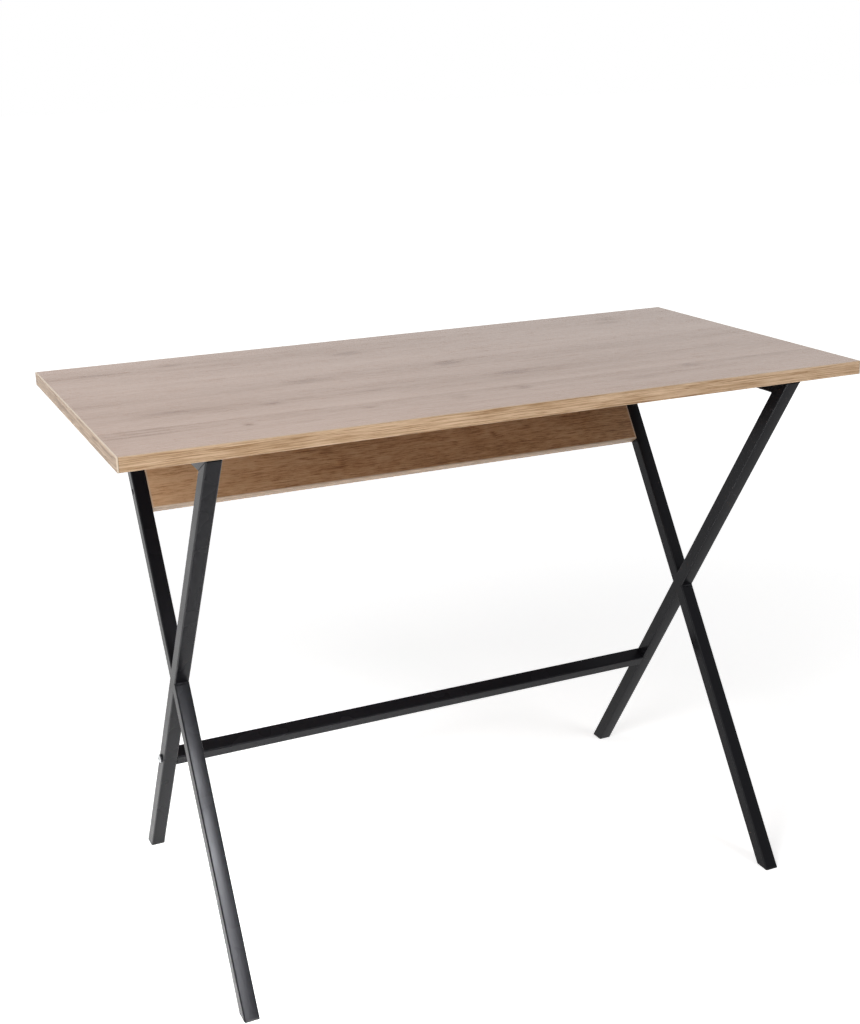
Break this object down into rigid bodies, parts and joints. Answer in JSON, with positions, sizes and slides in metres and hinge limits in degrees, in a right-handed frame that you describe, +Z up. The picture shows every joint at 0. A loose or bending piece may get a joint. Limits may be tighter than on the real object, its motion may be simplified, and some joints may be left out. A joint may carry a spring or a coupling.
{
  "type": "computer desk",
  "caption": "Computer desk with a banded wood-decor top on crossed square-tube frames, tied by a slanted back panel and a low stretcher.",
  "frame": {"origin": "on the floor under the middle of the desktop", "axes": "+X to the right along the desktop's length as a sitter sees it, +Y from the front to the back, +Z up"},
  "size_m": [1, 0.5, 0.74],
  "materials": {
    "wood_decor_board": "matt oak-decor chipboard with fine grain along the length",
    "wood_decor_edge": "oak-print edge band with rounded edges",
    "black_powder_coat": "semi-gloss black powder coat",
    "zinc_steel": "bright zinc plate",
    "black_plastic": "matt black moulded plastic"
  },
  "bodies": {
    "root": {"desktop_board": "wood_decor_board", "desktop_front_edge_band": "wood_decor_edge", "desktop_rear_edge_band": "wood_decor_edge", "desktop_left_edge_band": "wood_decor_edge", "desktop_right_edge_band": "wood_decor_edge", "back_panel_board": "wood_decor_board", "back_panel_lower_edge_band": "wood_decor_edge", "back_panel_upper_edge_band": "wood_decor_edge", "back_panel_left_edge_band": "wood_decor_edge", "back_panel_right_edge_band": "wood_decor_edge", "left_long_leg": "black_powder_coat", "left_upper_half_leg": "black_powder_coat", "left_lower_half_leg": "black_powder_coat", "left_top_rail": "black_powder_coat", "right_long_leg": "black_powder_coat", "right_upper_half_leg": "black_powder_coat", "right_lower_half_leg": "black_powder_coat", "right_top_rail": "black_powder_coat", "stretcher_tube": "black_powder_coat", "stretcher_left_insert": "zinc_steel", "stretcher_right_insert": "zinc_steel", "stretcher_bolts": "zinc_steel", "back_panel_screws": "zinc_steel", "desktop_screws": "zinc_steel", "left_front_foot_plug": "black_plastic", "left_rear_foot_plug": "black_plastic", "right_front_foot_plug": "black_plastic", "right_rear_foot_plug": "black_plastic"}
  },
  "joints": []
}
